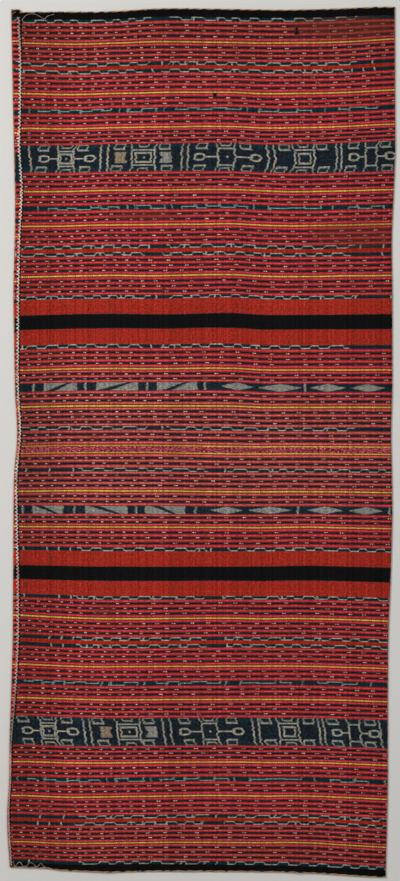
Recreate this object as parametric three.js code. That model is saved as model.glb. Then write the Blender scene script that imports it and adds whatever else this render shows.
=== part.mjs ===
// An ikat tube skirt, lying flat with its front up.
// Millimetres, +Z up. X runs along the warp, from the left fold to the right fold, and Y along the
// tube's length. The origin is the middle of the outline, on the surface that the cloth lies on.
//
// Two loom widths of warp ikat are joined along the skirt's middle. Each goes once round the tube:
// it starts under the lap at the left, runs over the front to the right fold, back underneath to the
// left fold, and ends as a narrow lap that is sewn down over its own start.

import * as THREE from "three";

// The cloth and how close its layers lie
const THICK = 1.2;
const LAYER_GAP = 0.8;
const LAP_GAP = 0.4;
const JOIN_GAP = 0.4;

const BACK_Z = THICK / 2;
const FRONT_Z = BACK_Z + THICK + LAYER_GAP;
const LAP_Z = FRONT_Z + THICK + LAP_GAP;
const RIGHT_BEND = (FRONT_Z - BACK_Z) / 2;
const LEFT_BEND = (LAP_Z - BACK_Z) / 2;

// How far the cloth's start stays from the left fold, the narrowest lap, and how far the underside's
// two ends stay short of the front's
const START_INSET = 2.8;
const LAP_LEAST = 3.8;
const BACK_SHORT = 1.5;

// At the top the lap was sewn on a little high, and the underside evens that out over this width
const LAP_RISE = 4;
const RISE_WIDTH = 60;

// The folds and the lap's sewn edge, at heights along the tube
const SIDES = [
  { y: 706, left: -308.2, seam: -292.6, right: 313.9 },
  { y: 619, left: -306.6, seam: -293.6, right: 314.2 },
  { y: 538, left: -305.0, seam: -294.4, right: 314.4 },
  { y: 473, left: -303.3, seam: -295.2, right: 314.7 },
  { y: 408, left: -301.7, seam: -290.4, right: 312.3 },
  { y: 327, left: -302.8, seam: -293.2, right: 309.0 },
  { y: 246, left: -304.5, seam: -296.0, right: 309.8 },
  { y: 165, left: -303.3, seam: -297.3, right: 309.8 },
  { y: 85, left: -301.7, seam: -295.2, right: 309.8 },
  { y: 12, left: -298.5, seam: -294.4, right: 308.0 },
  { y: -53, left: -303.3, seam: -299.3, right: 309.2 },
  { y: -118, left: -304.4, seam: -299.6, right: 309.8 },
  { y: -223, left: -305.0, seam: -296.8, right: 307.0 },
  { y: -320, left: -305.8, seam: -296.4, right: 303.3 },
  { y: -418, left: -308.2, seam: -301.2, right: 302.5 },
  { y: -482, left: -310.6, seam: -306.8, right: 302.5 },
  { y: -547, left: -311.4, seam: -307.6, right: 302.5 },
  { y: -612, left: -314.7, seam: -310.9, right: 301.5 },
  { y: -690, left: -310.2, seam: -306.4, right: 299.3 },
];

// The tube's two open ends and the join of the loom widths, at places across it
const ENDS = [
  { x: -315, top: 696.6, join: -12.9, bottom: -688.0 },
  { x: -253, top: 696.8, join: -11.8, bottom: -689.7 },
  { x: -229, top: 697.0, join: -11.3, bottom: -693.0 },
  { x: -148, top: 697.2, join: -11.0, bottom: -696.2 },
  { x: -83, top: 701.6, join: -10.9, bottom: -695.0 },
  { x: -42, top: 702.7, join: -11.5, bottom: -694.6 },
  { x: 63, top: 701.0, join: -13.2, bottom: -695.4 },
  { x: 144, top: 700.2, join: -13.2, bottom: -696.4 },
  { x: 208, top: 701.6, join: -13.4, bottom: -699.4 },
  { x: 273, top: 704.3, join: -13.8, bottom: -703.8 },
  { x: 315, top: 705.1, join: -14.0, bottom: -705.1 },
];

// Creases left by storage: place on the middle height, lean to the right for each mm up, height
// over the sheet's rest level and half width
const CREASES = [
  { x: -149, lean: 0.004, high: 1.5, wide: 15 },
  { x: 6, lean: -0.006, high: -0.5, wide: 13 },
  { x: 160, lean: 0.005, high: 1.3, wide: 16 },
];

// Broad, low waves of a cloth that was laid down and not ironed
const WAVES = [
  { high: 0.35, across: 233, along: 390, shift: 0.6 },
  { high: 0.25, across: -140, along: 215, shift: 2.1 },
];
const REST_LIFT = 0.7;
const FLAT_RIM = 26;

const FRONT_STEPS = 30;
const BACK_STEPS = 12;
const FOLD_STEPS = 5;
const LAP_STEPS = 2;
const ROWS = 15;

const CLOTH_RED = 0xb4323f;

function smoothStep(value) {
  const t = Math.min(Math.max(value, 0), 1);
  return t * t * (3 - 2 * t);
}

function mix(a, b, t) {
  return a + (b - a) * t;
}

// A column of a table at a place between its rows, on a smooth curve through them
function lookUp(table, key, column, place) {
  const rising = table[0][key] < table[table.length - 1][key];
  const rows = rising ? table : [...table].reverse();
  const last = rows.length - 1;
  if (place <= rows[0][key]) return rows[0][column];
  if (place >= rows[last][key]) return rows[last][column];
  let i = 0;
  while (rows[i + 1][key] < place) i += 1;
  const slope = (a, b) => (rows[b][column] - rows[a][column]) / (rows[b][key] - rows[a][key]);
  const span = rows[i + 1][key] - rows[i][key];
  const t = (place - rows[i][key]) / span;
  const leave = slope(Math.max(i - 1, 0), i + 1) * span;
  const reach = slope(i, Math.min(i + 2, last)) * span;
  const from = rows[i][column];
  const to = rows[i + 1][column];
  return (2 * t ** 3 - 3 * t ** 2 + 1) * from + (t ** 3 - 2 * t ** 2 + t) * leave
    + (3 * t ** 2 - 2 * t ** 3) * to + (t ** 3 - t ** 2) * reach;
}

// Height of the front layer over its lowest level
function lift(x, y, seam, right) {
  let high = REST_LIFT;
  for (const crease of CREASES) {
    const off = (x - crease.x - crease.lean * y) / crease.wide;
    high += crease.high * Math.exp(-off * off);
  }
  for (const wave of WAVES) {
    high += wave.high * Math.sin((2 * Math.PI * x) / wave.across + (2 * Math.PI * y) / wave.along + wave.shift);
  }
  const rim = smoothStep((x - seam) / FLAT_RIM) * smoothStep((right - x) / FLAT_RIM);
  return Math.max(high, 0) * rim;
}

// The middle of the sheet once round the tube at one height, seen from the tube's lower end
function roundTheTube(y) {
  const left = lookUp(SIDES, "y", "left", y);
  const right = lookUp(SIDES, "y", "right", y);
  const seam = Math.max(lookUp(SIDES, "y", "seam", y), left + LAP_LEAST);
  const half = THICK / 2;
  const rightMiddle = right - half - RIGHT_BEND;
  const leftMiddle = left + half + LEFT_BEND;
  const points = [];
  for (let i = 0; i <= FRONT_STEPS; i += 1) {
    const x = mix(left + START_INSET, rightMiddle, i / FRONT_STEPS);
    points.push({ x, z: FRONT_Z + lift(x, y, seam, right), layer: "front" });
  }
  for (let i = 1; i < FOLD_STEPS; i += 1) {
    const turn = (Math.PI * i) / FOLD_STEPS;
    const x = rightMiddle + RIGHT_BEND * Math.sin(turn);
    points.push({ x, z: BACK_Z + RIGHT_BEND + RIGHT_BEND * Math.cos(turn), layer: "front" });
  }
  for (let i = 0; i <= BACK_STEPS; i += 1) {
    points.push({ x: mix(rightMiddle, leftMiddle, i / BACK_STEPS), z: BACK_Z, layer: "back" });
  }
  for (let i = 1; i < FOLD_STEPS; i += 1) {
    const turn = (Math.PI * i) / FOLD_STEPS;
    const x = leftMiddle - LEFT_BEND * Math.sin(turn);
    points.push({ x, z: BACK_Z + LEFT_BEND - LEFT_BEND * Math.cos(turn), layer: "lap" });
  }
  for (let i = 0; i <= LAP_STEPS; i += 1) {
    points.push({ x: mix(leftMiddle, seam, i / LAP_STEPS), z: LAP_Z, layer: "lap" });
  }
  return { points, left };
}

// Where a panel's outer end lies for one point of the round
function outerEnd(point, left, side) {
  const edge = lookUp(ENDS, "x", side.end, point.x);
  if (point.layer === "front") return edge;
  const fromFold = 1 - smoothStep((point.x - left) / RISE_WIDTH);
  if (point.layer === "lap") return edge + side.lapRise;
  return edge - side.way * BACK_SHORT * (1 - fromFold) + side.lapRise * fromFold;
}

// One loom width as a closed sheet: rows of the round, from the join to the tube's open end
function makePanel(name, side) {
  const positions = [];
  let ring = 0;
  for (let row = 0; row < ROWS; row += 1) {
    const along = row / (ROWS - 1);
    const level = mix(lookUp(ENDS, "x", "join", 0), lookUp(ENDS, "x", side.end, 0), along);
    const { points, left } = roundTheTube(level);
    const skin = [];
    points.forEach((point, i) => {
      const before = points[Math.max(i - 1, 0)];
      const after = points[Math.min(i + 1, points.length - 1)];
      const length = Math.hypot(after.x - before.x, after.z - before.z);
      const out = { x: -(after.z - before.z) / length, z: (after.x - before.x) / length };
      const joinEdge = lookUp(ENDS, "x", "join", point.x) + (side.way * JOIN_GAP) / 2;
      const y = mix(joinEdge, outerEnd(point, left, side), along);
      const flat = point.layer === "back" ? { x: 0, z: -1 } : out;
      skin.push({ point, y, out: flat });
    });
    for (const { point, y, out } of skin) {
      positions.push(point.x + (out.x * THICK) / 2, y, point.z + (out.z * THICK) / 2);
    }
    for (const { point, y, out } of skin.reverse()) {
      positions.push(point.x - (out.x * THICK) / 2, y, point.z - (out.z * THICK) / 2);
    }
    ring = skin.length * 2;
  }
  const faces = [];
  const quad = (a, b, c, d) => faces.push(a, b, c, a, c, d);
  for (let row = 0; row < ROWS - 1; row += 1) {
    for (let i = 0; i < ring; i += 1) {
      const next = (i + 1) % ring;
      quad(row * ring + i, row * ring + next, (row + 1) * ring + next, (row + 1) * ring + i);
    }
  }
  const lastRow = (ROWS - 1) * ring;
  for (let i = 0; i < ring / 2 - 1; i += 1) {
    quad(i + 1, i, ring - 1 - i, ring - 2 - i);
    quad(lastRow + i, lastRow + i + 1, lastRow + ring - 2 - i, lastRow + ring - 1 - i);
  }
  if (side.way < 0) {
    for (let i = 0; i < faces.length; i += 3) {
      [faces[i + 1], faces[i + 2]] = [faces[i + 2], faces[i + 1]];
    }
  }
  const geometry = new THREE.BufferGeometry();
  geometry.setAttribute("position", new THREE.Float32BufferAttribute(positions, 3));
  geometry.setIndex(faces);
  geometry.computeVertexNormals();
  const cloth = new THREE.MeshStandardMaterial({ color: CLOTH_RED, roughness: 0.9, metalness: 0 });
  const panel = new THREE.Mesh(geometry, cloth);
  panel.name = name;
  return panel;
}

const skirt = new THREE.Group();
skirt.name = "tube_skirt";
skirt.add(makePanel("upper_panel", { end: "top", way: 1, lapRise: LAP_RISE }));
skirt.add(makePanel("lower_panel", { end: "bottom", way: -1, lapRise: 0 }));

export default skirt;
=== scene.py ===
# An ikat tube skirt, lying flat with its front up.
# Places and sizes are in millimetres until a mesh is made: X along the warp to the right fold,
# Y along the tube to its upper end, Z up. Everything is turned into metres at the end.

import math
from collections import namedtuple
from types import SimpleNamespace

import bpy
import numpy as np
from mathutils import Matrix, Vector


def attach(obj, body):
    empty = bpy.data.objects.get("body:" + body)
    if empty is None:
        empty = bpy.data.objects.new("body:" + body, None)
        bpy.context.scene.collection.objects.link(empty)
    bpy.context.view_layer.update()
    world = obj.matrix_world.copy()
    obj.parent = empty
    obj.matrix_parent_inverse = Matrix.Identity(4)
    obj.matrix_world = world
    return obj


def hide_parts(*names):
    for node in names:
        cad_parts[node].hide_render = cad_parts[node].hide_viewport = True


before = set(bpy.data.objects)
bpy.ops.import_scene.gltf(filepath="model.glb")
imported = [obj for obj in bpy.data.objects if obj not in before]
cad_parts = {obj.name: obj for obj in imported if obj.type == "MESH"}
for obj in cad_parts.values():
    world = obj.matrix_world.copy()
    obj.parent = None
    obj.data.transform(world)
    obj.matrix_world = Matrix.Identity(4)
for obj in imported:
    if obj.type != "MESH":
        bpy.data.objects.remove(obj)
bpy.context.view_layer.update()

MM = 0.001

# The cloth, with its layers where the solids have them
THICK = 1.2
LAYER_GAP = 0.8
LAP_GAP = 0.4
BACK_Z = THICK / 2
FRONT_Z = BACK_Z + THICK + LAYER_GAP
LAP_Z = FRONT_Z + THICK + LAP_GAP
RIGHT_BEND = (FRONT_Z - BACK_Z) / 2
LEFT_BEND = (LAP_Z - BACK_Z) / 2
START_INSET = 2.8
LAP_LEAST = 3.0
BACK_SHORT = 1.5
RISE_WIDTH = 28
JOIN_GAP = 0.35

# The folds and the lap's sewn edge, at heights along the tube
SIDES = {
    "y": (706, 680, 619, 538, 473, 408, 327, 246, 165, 85, 12, -53, -118, -223, -320, -418, -482, -547,
          -612, -690),
    "left": (-308.2, -307.7, -306.6, -305.0, -303.3, -301.7, -302.8, -304.5, -303.3, -301.7, -298.5,
             -303.3, -304.4, -305.0, -305.8, -308.6, -310.6, -311.4, -314.7, -310.2),
    "seam": (-292.6, -294.9, -292.7, -293.2, -294.4, -290.5, -294.2, -295.7, -296.3, -296.4, -293.0,
             -298.5, -298.5, -296.5, -296.4, -301.6, -307.0, -309.2, -311.3, -306.9),
    "right": (313.9, 314.0, 314.2, 314.4, 314.7, 312.3, 309.0, 309.8, 309.8, 309.8, 308.0, 309.2, 309.8,
              307.0, 303.3, 302.5, 302.5, 302.5, 301.5, 299.3),
}

# The tube's open ends and the join of its two loom widths, at places across it
ENDS = {
    "x": (-315, -253, -229, -148, -83, -42, 63, 144, 208, 273, 315),
    "top": (696.6, 696.8, 697.0, 697.2, 701.6, 702.7, 701.0, 700.2, 701.6, 704.3, 705.1),
    "join": (-12.9, -11.8, -11.3, -11.0, -10.9, -11.5, -13.2, -13.2, -13.4, -13.8, -14.0),
    "bottom": (-688.0, -689.7, -693.0, -696.2, -695.0, -694.6, -695.4, -696.4, -699.4, -703.8, -705.1),
}

# How the stripes sway: the heights of some lines of each loom width, at places across the front
SWAY = {
    "x": (-287, -213, -148, -59, 47, 103, 160, 233, 311),
    "upper_slash": (97.2, 99.5, 99.8, 99.9, 100.4, 97.5, 97.3, 97.3, 97.1),
    "upper_black": (204.8, 207.0, 207.6, 206.8, 209.0, 205.8, 205.8, 206.5, 207.2),
    "upper_fourth": (378.2, 378.7, 380.5, 381.3, 382.4, 380.0, 379.0, 380.4, 382.2),
    "upper_inner": (437.2, 436.6, 438.5, 439.0, 439.7, 437.2, 435.7, 437.4, 439.6),
    "upper_main": (480.8, 480.7, 482.6, 483.9, 485.0, 482.1, 482.6, 485.0, 488.6),
    "upper_narrow": (606.5, 604.3, 605.5, 607.9, 607.8, 606.1, 606.1, 607.6, 612.1),
    "upper_yellow": (646.6, 645.0, 646.2, 649.0, 647.7, 646.7, 646.6, 648.6, 653.5),
    "lower_black": (-199.5, -200.6, -201.6, -201.6, -201.6, -201.4, -200.2, -201.8, -203.9),
    "lower_fifth": (-280.1, -284.0, -286.0, -285.7, -285.0, -286.0, -285.7, -287.4, -289.9),
    "lower_fourth": (-387.4, -389.8, -390.9, -390.4, -389.8, -389.6, -389.6, -391.2, -393.7),
    "lower_main": (-443.3, -445.6, -446.7, -446.7, -446.2, -446.4, -446.7, -448.3, -450.8),
    "lower_third": (-517.3, -519.6, -519.5, -518.6, -518.0, -518.8, -518.8, -520.6, -524.2),
    "lower_second": (-572.3, -574.8, -574.0, -572.9, -572.2, -573.2, -572.6, -575.2, -578.9),
    "lower_first": (-647.2, -649.9, -649.3, -648.4, -648.2, -648.6, -648.5, -652.2, -656.9),
    "lower_edge": (-680.3, -684.1, -683.4, -683.2, -684.5, -684.9, -685.8, -689.7, -693.9),
}

# How far the lap's stripes lie above the front's, by how far out from the join they are
LAP_SHIFT = {
    "out": (0, 70, 101, 204, 243, 324, 392, 462, 519, 577, 659, 710),
    "upper": (0, -3.2, -6.5, -4.0, -5.0, -10.5, -20.0, -16.0, -7.3, 0, 3.2, 4.0),
    "lower": (0, 0, 0, 0, 0, 0, 0, 0, 0, 0, 0, 0),
}

# The stripes of one loom width, from the join outwards: what each is, where it starts and ends in
# the cloth's own mm, and how many dashed lines lie between it and the next
STRIPES = [
    ("plum", 0.0, 4.3, 0),
    ("yellow", 4.3, 7.2, 2),
    ("narrow", 31.2, 36.8, 3),
    ("yellow", 67.6, 71.4, 2),
    ("slash", 94.3, 107.2, 2),
    ("yellow", 127.5, 131.3, 3),
    ("narrow", 163.3, 169.3, 0),
    ("brick", 169.3, 194.5, 0),
    ("black", 194.5, 218.6, 0),
    ("brick", 218.6, 243.6, 0),
    ("narrow", 243.6, 249.0, 3),
    ("yellow", 278.7, 282.5, 3),
    ("narrow", 312.5, 318.4, 0),
    ("scarlet", 318.4, 324.7, 0),
    ("narrow", 324.7, 330.8, 3),
    ("yellow", 360.8, 364.6, 2),
    ("middle", 387.5, 395.1, 2),
    ("yellow", 417.0, 420.8, 3),
    ("main", 449.6, 493.9, 3),
    ("yellow", 519.1, 522.9, 2),
    ("middle", 545.5, 552.8, 2),
    ("yellow", 575.1, 578.9, 3),
    ("narrow", 609.9, 615.8, 0),
    ("scarlet", 615.8, 621.7, 0),
    ("narrow", 621.7, 627.6, 3),
    ("yellow", 657.1, 660.9, 3),
    ("narrow", 691.7, 697.4, 0),
    ("rim", 697.4, 709.9, 0),
]

# The width of a dashed line, and of a yellow stripe's olive rims, first elsewhere and then at the join
DASH_WIDE = 3.2
YELLOW_RIM = 0.8
JOIN_YELLOW_RIM = 0.45

# The widest row of faces
WIDEST_ROW = 7.5

# Lines of the chart, by how far out from the join they are, and the columns with their heights
UPPER_LINES = ((0.0, "join"), (110.0, "upper_slash"), (218.0, "upper_black"), (391.3, "upper_fourth"),
               (449.6, "upper_inner"), (493.9, "upper_main"), (618.7, "upper_narrow"),
               (659.0, "upper_yellow"), (709.9, "top"))
LOWER_LINES = ((0.0, "join"), (195.0, "lower_black"), (280.6, "lower_fifth"), (391.3, "lower_fourth"),
               (449.6, "lower_main"), (521.0, "lower_third"), (577.0, "lower_second"),
               (659.0, "lower_first"), (697.4, "lower_edge"), (709.9, "bottom"))

# Colours, as red, green and blue out of 255
COLOURS = {
    "crimson": (148, 36, 11),
    "magenta": (146, 24, 40),
    "salmon": (132, 42, 36),
    "pink": (236, 74, 90),
    "pale pink": (238, 112, 108),
    "brick": (167, 45, 33),
    "scarlet": (172, 41, 25),
    "plum": (140, 34, 44),
    "plum light": (240, 112, 124),
    "plum dark": (64, 14, 26),
    "black": (18, 18, 19),
    "rim": (17, 15, 16),
    "teal": (12, 50, 57),
    "navy": (20, 28, 36),
    "slate": (50, 60, 68),
    "dash": (0, 42, 48),
    "dash brown": (24, 30, 27),
    "gold": (250, 206, 86),
    "green gold": (238, 212, 82),
    "olive": (92, 56, 34),
    "undyed": (162, 167, 160),
    "undyed warm": (184, 170, 146),
    "line": (186, 194, 176),
    "pale teal": (146, 172, 162),
    "fleck": (250, 232, 200),
    "rose": (230, 62, 98),
    "block tan": (150, 126, 100),
    "block grey": (142, 142, 134),
    "tan": (170, 122, 78),
    "brown": (98, 48, 34),
    "thread": (250, 244, 228),
    "rose thread": (234, 196, 186),
    "mauve thread": (200, 92, 116),
    "loose thread": (168, 152, 140),
    "selvedge": (200, 148, 90),
    "floor": (226, 224, 220),
}

# What a row of faces can be, by number
KINDS = {name: i for i, name in enumerate(
    ("ground", "dash", "narrow", "middle", "slash", "main", "yellow", "black", "rim", "plum", "plain"))}


def linear(name):
    """A named colour as the renderer's linear red, green, blue and alpha."""
    parts = [c / 255 for c in COLOURS[name]]
    return tuple(c / 12.92 if c <= 0.04045 else ((c + 0.055) / 1.055) ** 2.4 for c in parts) + (1.0,)


def smooth_step(value):
    t = np.clip(value, 0.0, 1.0)
    return t * t * (3 - 2 * t)


def along(table, key, column):
    """A smooth curve through a table's column, as a function of its key."""
    keys = np.array(table[key], float)
    values = np.array(table[column], float)
    order = np.argsort(keys)
    keys, values = keys[order], values[order]
    last = len(keys) - 1

    def read(place):
        at = np.clip(np.asarray(place, float), keys[0], keys[-1])
        i = np.clip(np.searchsorted(keys, at, side="right") - 1, 0, last - 1)
        before, after = np.maximum(i - 1, 0), np.minimum(i + 2, last)
        span = keys[i + 1] - keys[i]
        leave = (values[i + 1] - values[before]) / (keys[i + 1] - keys[before]) * span
        reach = (values[after] - values[i]) / (keys[after] - keys[i]) * span
        t = (at - keys[i]) / span
        return ((2 * t**3 - 3 * t**2 + 1) * values[i] + (t**3 - 2 * t**2 + t) * leave
                + (3 * t**2 - 2 * t**3) * values[i + 1] + (t**3 - t**2) * reach)

    return read


left_at = along(SIDES, "y", "left")
seam_at = along(SIDES, "y", "seam")
right_at = along(SIDES, "y", "right")
join_at = along(ENDS, "x", "join")


def soft_noise(x, y, grain, seed):
    """Smooth noise between -1 and 1 with hills about a grain apart, in x and y."""
    grid = np.random.default_rng(seed).uniform(-1, 1, (64, 64))
    across, up = np.asarray(x, float) / grain[0] + 20, np.asarray(y, float) / grain[1] + 20
    i, j = np.floor(across).astype(int), np.floor(up).astype(int)
    s, t = smooth_step(across - i), smooth_step(up - j)
    at = lambda a, b: grid[(i + a) % 64, (j + b) % 64]
    return ((1 - s) * (1 - t) * at(0, 0) + s * (1 - t) * at(1, 0)
            + (1 - s) * t * at(0, 1) + s * t * at(1, 1))


# Creases left by storage, and broad low waves, as in the solids
CREASES = (
    {"x": -149, "lean": 0.004, "high": 1.5, "wide": 15},
    {"x": 6, "lean": -0.006, "high": -0.5, "wide": 13},
    {"x": 160, "lean": 0.005, "high": 1.3, "wide": 16},
)
WAVES = (
    {"high": 0.35, "across": 233, "along": 390, "shift": 0.6},
    {"high": 0.25, "across": -140, "along": 215, "shift": 2.1},
)
REST_LIFT = 0.7
FLAT_RIM = 26

# The creases' sharp lines, and the fine unevenness that the solids leave out
SHARP_CREASE = {"high": 0.55, "wide": 3.2, "wander": 1.8}
FINE_WRINKLES = (
    {"high": 0.34, "grain": (62, 38), "seed": 3},
    {"high": 0.22, "grain": (24, 46), "seed": 4},
    {"high": 0.12, "grain": (11, 17), "seed": 5},
)
PUCKER = {"high": 0.45, "reach": 9.0, "every": 13.0}


def lift(x, y, seam, right):
    """Height of the front layer over its lowest level."""
    high = np.full(np.broadcast(x, y).shape, float(REST_LIFT))
    for crease in CREASES:
        off = x - crease["x"] - crease["lean"] * y
        high += crease["high"] * np.exp(-(off / crease["wide"]) ** 2)
        wander = off - SHARP_CREASE["wander"] * soft_noise(y, y * 0, (70, 1), 11)
        high += np.sign(crease["high"]) * SHARP_CREASE["high"] * np.exp(-(wander / SHARP_CREASE["wide"]) ** 2)
    for wave in WAVES:
        high += wave["high"] * np.sin(2 * np.pi * (x / wave["across"] + y / wave["along"]) + wave["shift"])
    for wrinkle in FINE_WRINKLES:
        high += wrinkle["high"] * soft_noise(x, y, wrinkle["grain"], wrinkle["seed"])
    rim = smooth_step((x - seam) / FLAT_RIM) * smooth_step((right - x) / FLAT_RIM)
    high = np.maximum(high, 0) * rim
    from_seam = np.maximum(x - seam, 0)
    pull = 0.5 + 0.5 * soft_noise(y, y * 0, (PUCKER["every"], 1), 21)
    high += PUCKER["high"] * pull * np.exp(-((from_seam - 5) / PUCKER["reach"]) ** 2)
    return high


# A row of faces: what it is, where it starts and ends, its stripe's middle and half width, and its dye
Row = namedtuple("Row", "kind low high middle half dye tint")


def row_plan():
    """The rows of faces of one loom width, from the join outwards."""
    rows = []

    def add(kind, start, end, dye, tint=0.0):
        count = max(1, math.ceil((end - start) / WIDEST_ROW))
        middle, half = (start + end) / 2, (end - start) / 2
        for i in range(count):
            low = start + (end - start) * i / count
            high = start + (end - start) * (i + 1) / count
            rows.append(Row(kind, low, high, middle, half, dye, tint))

    dyes = {"narrow": "teal", "middle": "teal", "slash": "navy", "main": "navy", "black": "black",
            "rim": "rim", "plum": "plum", "brick": "brick", "scarlet": "scarlet"}
    golds = 0
    for i, (name, start, end, dashes) in enumerate(STRIPES):
        if name == "yellow":
            gold = "gold" if golds % 2 == 0 else "green gold"
            golds += 1
            rim = YELLOW_RIM if i > 1 else JOIN_YELLOW_RIM
            add("plain", start, start + rim, "olive")
            add("yellow", start + rim, end - rim, gold)
            add("plain", end - rim, end, "olive")
        else:
            add(name if name in KINDS else "plain", start, end, dyes[name])
        if i + 1 == len(STRIPES):
            break
        onward = STRIPES[i + 1][1]
        if onward == end:
            continue
        red = (onward - end - dashes * DASH_WIDE) / (dashes + 1)
        for k in range(dashes + 1):
            low = end + k * (red + DASH_WIDE)
            by_gold = (name == "yellow" and k == 0) or (STRIPES[i + 1][0] == "yellow" and k == dashes)
            add("ground", low, low + red, "crimson", 1.0 if by_gold else 0.0)
            if k < dashes:
                add("dash", low + red, low + red + DASH_WIDE, "dash")
    return rows


ROWS = row_plan()

# Stations along each stretch of the way round the tube
FRONT_STEPS = 150
BACK_STEPS = 60
FOLD_STEPS = 8
LAP_STEPS = 6

# How far out from the join the red stays faded and where the fading ends, and how strong the tints are
FADED_TO, FADE_END = 55.0, 150.0
MAGENTA_SHARE, SALMON_SHARE = 0.75, 0.8


def ground_colour(out, tint):
    """The red of a plain stripe: more magenta beside a yellow one, faded near the join."""
    fade = float(1 - smooth_step((out - FADED_TO) / (FADE_END - FADED_TO)))
    base = np.array(linear("crimson"))
    base = base + (np.array(linear("magenta")) - base) * tint * MAGENTA_SHARE
    return base + (np.array(linear("salmon")) - base) * fade * SALMON_SHARE


# The stretches of a sheet's way round the tube, in order, and where the stripes meet the two folds
FRONT, RIGHT_FOLD, BACK, LEFT_FOLD, LAP = range(5)
LEFT_PLACE, RIGHT_PLACE = -300.0, 310.0

# The stripes' fine sway, which starts and ends over the rim's width, and how far the join's gap tells
FINE_SWAY = {"high": 0.35, "grain": (46, 15), "seed": 31}
SWAY_RIM = 12
JOIN_REACH = 20
LAP_RIPPLE = {"high": 0.16, "grain": (8, 9), "seed": 41, "rim": 4}


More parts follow.
